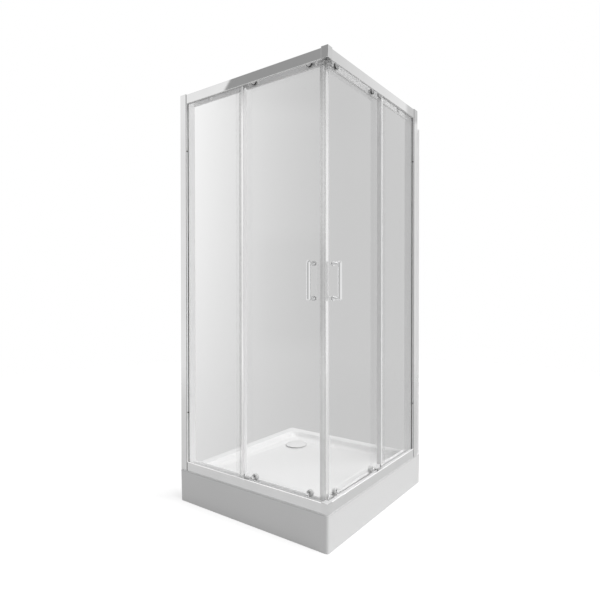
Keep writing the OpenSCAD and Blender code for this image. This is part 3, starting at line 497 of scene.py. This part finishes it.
def aluminium(name, stretch, outer_face=None, joint=None, light_by=0.0):
    material, r = new_finish(name)
    line = r.noise(r.place(stretch), 700.0, 3.0, 0.6)
    cloud = r.noise(r.place(), 9.0)
    satin_and_painted_light = gap = 1.0
    tone = r.grey(cloud, 0.76, 0.84)
    if outer_face:
        axis, face = outer_face
        satin_and_painted_light = (r.along(axis) - face).math("ABSOLUTE") > face_depth
        axis, end = joint
        gap = (r.along(axis) - end).math("ABSOLUTE") > joint_half_width
        gap = gap.math("MAXIMUM", satin_and_painted_light)
        # Behind the polished face the tone is raised nearly to white: partly the die's satin,
        # partly painted light.
        tone = r.blend(satin_and_painted_light, tone, r.grey(cloud, 0.95, 0.98))
        tone = r.blend(gap, (0.05, 0.05, 0.05), tone)
    metal = r.skin(Base_Color=tone, Metallic=gap * (1.0 - satin_and_painted_light * 0.9),
                   Roughness=line.between(0.3, 0.7, 0.01, 0.03) + satin_and_painted_light * 0.40,
                   Normal=r.bump(line, 0.015, 0.0001))
    if light_by:
        let_light_by(r, metal, light_by)
    else:
        r.show(metal)
    return material


outer_reach, left_post_end, right_post_end = 0.444, -0.405, 0.378
upright, along_x, along_y = (1.0, 1.0, 0.004), (0.004, 1.0, 1.0), (1.0, 0.004, 1.0)
dress(aluminium("channel_aluminium", upright), "wall_channels")
for side, way, outer_face, joint in (
        ("left", along_x, ("Y", -outer_reach), ("X", left_post_end)),
        ("right", along_y, ("X", outer_reach), ("Y", right_post_end))):
    dress(aluminium(f"{side}_post_aluminium", upright, outer_face, joint), f"{side}_wall_post")
    dress(aluminium(f"{side}_rail_aluminium", way, outer_face, joint), f"{side}_bottom_rail")
    lit_past = aluminium(f"{side}_top_aluminium", way, outer_face, joint, light_by=1.0)
    dress(lit_past, f"{side}_top_rail")


# Corner blocks close the rails at the mitre, and caps close the posts. They are moulded and
# metallised in silver, duller on the inside. Screws in the posts hold the rails and the panes.
inner_reach = 0.4425
silver, r = new_finish("metallised_plastic")
cloud = r.noise(r.place(), 22.0)
reach = r.along("X").math("MAXIMUM", r.along("Y") * -1.0)
inside = reach.between(inner_reach, inner_reach + 0.0005, 1.0, 0.0)
r.show(r.skin(Base_Color=r.grey(cloud, 0.74, 0.82), Metallic=1.0 - inside * 0.7,
              Roughness=cloud.between(0.3, 0.7, 0.01, 0.04) + inside * 0.3,
              Normal=r.bump(r.noise(r.place(), 420.0), 0.03)))
dress(silver, "post_caps", "top_corner_block", "bottom_corner_block")

screw_steel, r = new_finish("screw_steel")
cloud = r.noise(r.place(), 240.0)
r.show(r.skin(Base_Color=r.grey(cloud, 0.10, 0.18), Metallic=1.0,
              Roughness=cloud.between(0.3, 0.7, 0.18, 0.3), Normal=r.bump(cloud, 0.08)))
dress(screw_steel, "rail_screws", "clamp_screws")


# The panes and doors are clear toughened glass, 5 mm thick. Pale beads hold the panes on three
# sides, painted black next to the posts as painted shade of the deep groove there, and a grey
# block closes the groove at the free edge.
glass, r = new_finish("clear_glass")
tone = r.noise(r.place((0.4, 0.4, 0.15)), 1.5, 2.0)
wave = r.noise(r.place(), 2.5, 1.0)
let_light_by(r, r.skin(Base_Color=r.grey(tone, 0.905, 0.935), Roughness=0.0, IOR=1.5,
                      Transmission_Weight=1.0, Normal=r.bump(wave, 0.02)), 0.97)
dress(glass, "left_fixed_pane", "right_fixed_pane", "left_door_glass", "right_door_glass")

groove_shade_width = 0.0060
bead, r = new_finish("glazing_bead")
streak = r.noise(r.place((1.0, 1.0, 0.02)), 400.0)
past_post = (left_post_end - r.along("X")).math("MAXIMUM", r.along("Y") - right_post_end)
# Next to the posts the bead is painted nearly black: painted shade of the posts' deep groove.
painted_groove_shade = past_post > -groove_shade_width
r.show(r.skin(Base_Color=r.blend(painted_groove_shade, r.grey(streak, 0.72, 0.80), r.grey(streak, 0.04, 0.07)),
              Roughness=streak.between(0.3, 0.7, 0.4, 0.6), Normal=r.bump(streak, 0.1)))
dress(bead, "pane_gaskets")

grey_plastic, r = new_finish("grey_plastic")
dust = r.noise(r.place(), 120.0)
r.show(r.skin(Base_Color=r.grey(dust, 0.42, 0.50), Roughness=dust.between(0.3, 0.7, 0.35, 0.5),
              Normal=r.bump(r.noise(r.place(), 700.0), 0.1)))
dress(grey_plastic, "pane_end_blocks")


# Soft clear seals are pushed onto the upright edges of the glass, one on each pane and one on
# the rear edge of each door that brushes against it. The leading edges of the doors carry a
# harder clip with a strip magnet. Two of them carry a painted highlight: a shiny, opaque stripe
# at one place in Y that stands in for light caught on a rounded edge.
highlight_half_width = 0.0045


def seal(name, gloss, cover, highlight_y=1.0):
    material, r = new_finish(name)
    streak = r.noise(r.place((1.0, 1.0, 0.01)), 60.0, 1.0)
    # Inside the stripe the seal turns metallic and opaque: a painted highlight that mirrors the
    # room.
    painted_highlight = (highlight_half_width - (r.along("Y") - highlight_y).math("ABSOLUTE")) > 0.0
    hold = streak.between(0.3, 0.7, cover - 0.02, cover + 0.02)
    let_light_by(r, r.skin(Base_Color=r.grey(streak, 0.95, 0.99),
                          Metallic=painted_highlight.math("MAXIMUM", gloss),
                          Alpha=hold.math("MAXIMUM", painted_highlight),
                          Roughness=streak.between(0.3, 0.7, 0.10, 0.18),
                          Normal=r.bump(streak, 0.02)), 0.95)
    return material


dress(seal("left_pane_seal_plastic", 0.05, 0.95, highlight_y=-0.4370), "left_pane_seal")
dress(seal("right_pane_seal_plastic", 0.05, 0.95), "right_pane_seal")
dress(seal("rear_seal_plastic", 0.50, 0.12), "left_rear_seal", "right_rear_seal")
dress(seal("left_magnet_seal_plastic", 0.45, 0.60), "left_magnet_seal")
dress(seal("right_magnet_seal_plastic", 0.45, 0.60, highlight_y=-0.3945), "right_magnet_seal")
dark_end_z = 1.953
magnet, r = new_finish("strip_magnet")
streak = r.noise(r.place((1.0, 1.0, 0.01)), 300.0)
strip = r.grey(streak, 0.72, 0.80)
r.show(r.skin(Base_Color=r.blend(r.along("Z") > dark_end_z, strip, (0.04, 0.04, 0.04)),
              Roughness=streak.between(0.3, 0.7, 0.5, 0.6), Normal=r.bump(streak, 0.1)))
dress(magnet, "left_magnet_strip", "right_magnet_strip")


# Each door hangs on two chromed holders with a black ring of painted shade round their boss,
# and runs on grooved nylon wheels. Below, two knobs, each with a spring in a grey nylon bush,
# lift the lower wheels for cleaning. The stops at the ends of the way are grey nylon too.
boss_z, boss_radius, holders_middle, holders_spread = 1.996, 0.0115, 0.171, 0.155
coil_pitch = 0.00165
nylon, r = new_finish("white_nylon")
haze = r.noise(r.place(), 150.0)
r.show(r.skin(Base_Color=r.grey(haze, 0.80, 0.87), Roughness=haze.between(0.3, 0.7, 0.35, 0.5),
              Normal=r.bump(haze, 0.05)))
grey_nylon, r = new_finish("grey_nylon")
haze = r.noise(r.place(), 150.0)
r.show(r.skin(Base_Color=r.grey(haze, 0.76, 0.82), Roughness=haze.between(0.3, 0.7, 0.35, 0.5),
              Normal=r.bump(haze, 0.05)))
ringed, r = new_finish("chrome_with_painted_shade")
across = r.along("X").math("MINIMUM", r.along("Y") * -1.0)
across = (across - holders_middle).math("ABSOLUTE") - holders_spread
down = r.along("Z") - boss_z
# A black, matt disc round each boss: a ring of painted shade, not a part.
painted_shade_ring = (across * across + down * down).math("SQRT") > boss_radius
film = r.noise(r.place(), 14.0, 4.0)
r.show(r.skin(Base_Color=r.blend(painted_shade_ring, (0.85, 0.85, 0.85), (0.03, 0.03, 0.03)),
              Metallic=1.0 - painted_shade_ring, Roughness=film.between(0.35, 0.7, 0.03, 0.08) + painted_shade_ring * 0.4,
              Normal=r.bump(film, 0.02)))
spring_steel, r = new_finish("spring_steel")
coil = waves(r, "SIN", coil_pitch)
# Dark bands in the grooves between the coil's turns are painted shade.
r.show(r.skin(Base_Color=r.grey(coil, 0.10, 0.62), Metallic=1.0,
              Roughness=coil.between(0.0, 1.0, 0.5, 0.25), Normal=r.bump(coil, 1.0, 0.0008)))
dress(grey_nylon, "door_stops")
for side in ("left", "right"):
    dress(ringed, f"{side}_hangers")
    dress(grey_nylon, f"{side}_release_bushes")
    for end in ("near", "far"):
        dress(nylon, f"{side}_top_wheel_{end}", f"{side}_bottom_wheel_{end}")
        dress(chrome, f"{side}_release_knob_{end}")
        dress(spring_steel, f"{side}_release_spring_{end}")


# A slim chromed bar stands off each door on two posts, bolted through the glass to round caps
# on the inside.
for side in ("left", "right"):
    dress(chrome, f"{side}_handle", f"{side}_handle_fixings")


# The box round the dressed cabin is found, in metres, leaving out the studio floor.
low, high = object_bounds()
